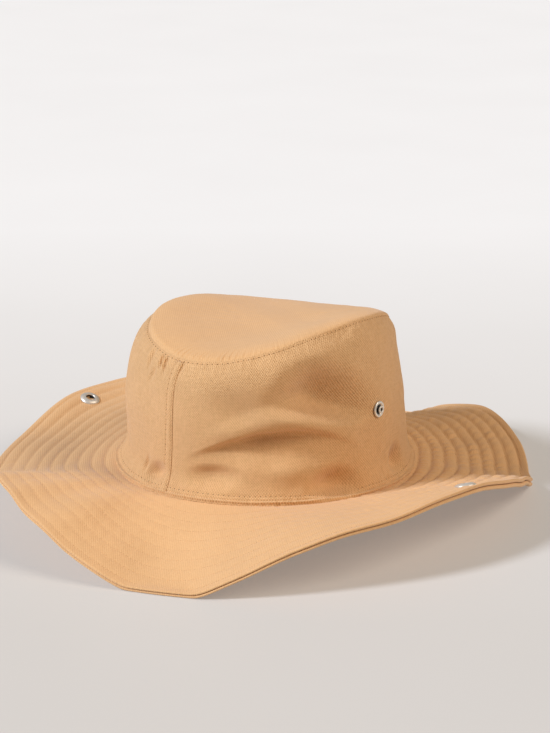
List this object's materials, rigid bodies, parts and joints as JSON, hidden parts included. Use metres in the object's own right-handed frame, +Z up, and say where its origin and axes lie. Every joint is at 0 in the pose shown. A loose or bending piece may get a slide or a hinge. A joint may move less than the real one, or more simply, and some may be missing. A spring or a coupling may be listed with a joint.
{
  "type": "rancher hat",
  "caption": "Soft cotton twill hat with a saddle-topped crown, a wide row-stitched brim that dips at the front and back, and metal snaps that hold the brim's sides up.",
  "frame": {"origin": "middle of the hat's outline, on the floor that it rests on", "axes": "+Z up, the front of the hat toward -Y, the wearer's left toward +X"},
  "size_m": [0.3092, 0.3442, 0.1151],
  "materials": {
    "twill": "matte camel cotton twill with tone-in-tone stitching",
    "snap_metal": "polished nickel plate"
  },
  "bodies": {
    "root": {"crown_tip": "twill", "crown_side_left": "twill", "crown_side_right": "twill", "brim_upper": "twill", "brim_under": "twill", "crown_stud_left": "snap_metal", "crown_stud_right": "snap_metal", "brim_socket_left": "snap_metal", "brim_socket_right": "snap_metal"}
  },
  "joints": []
}
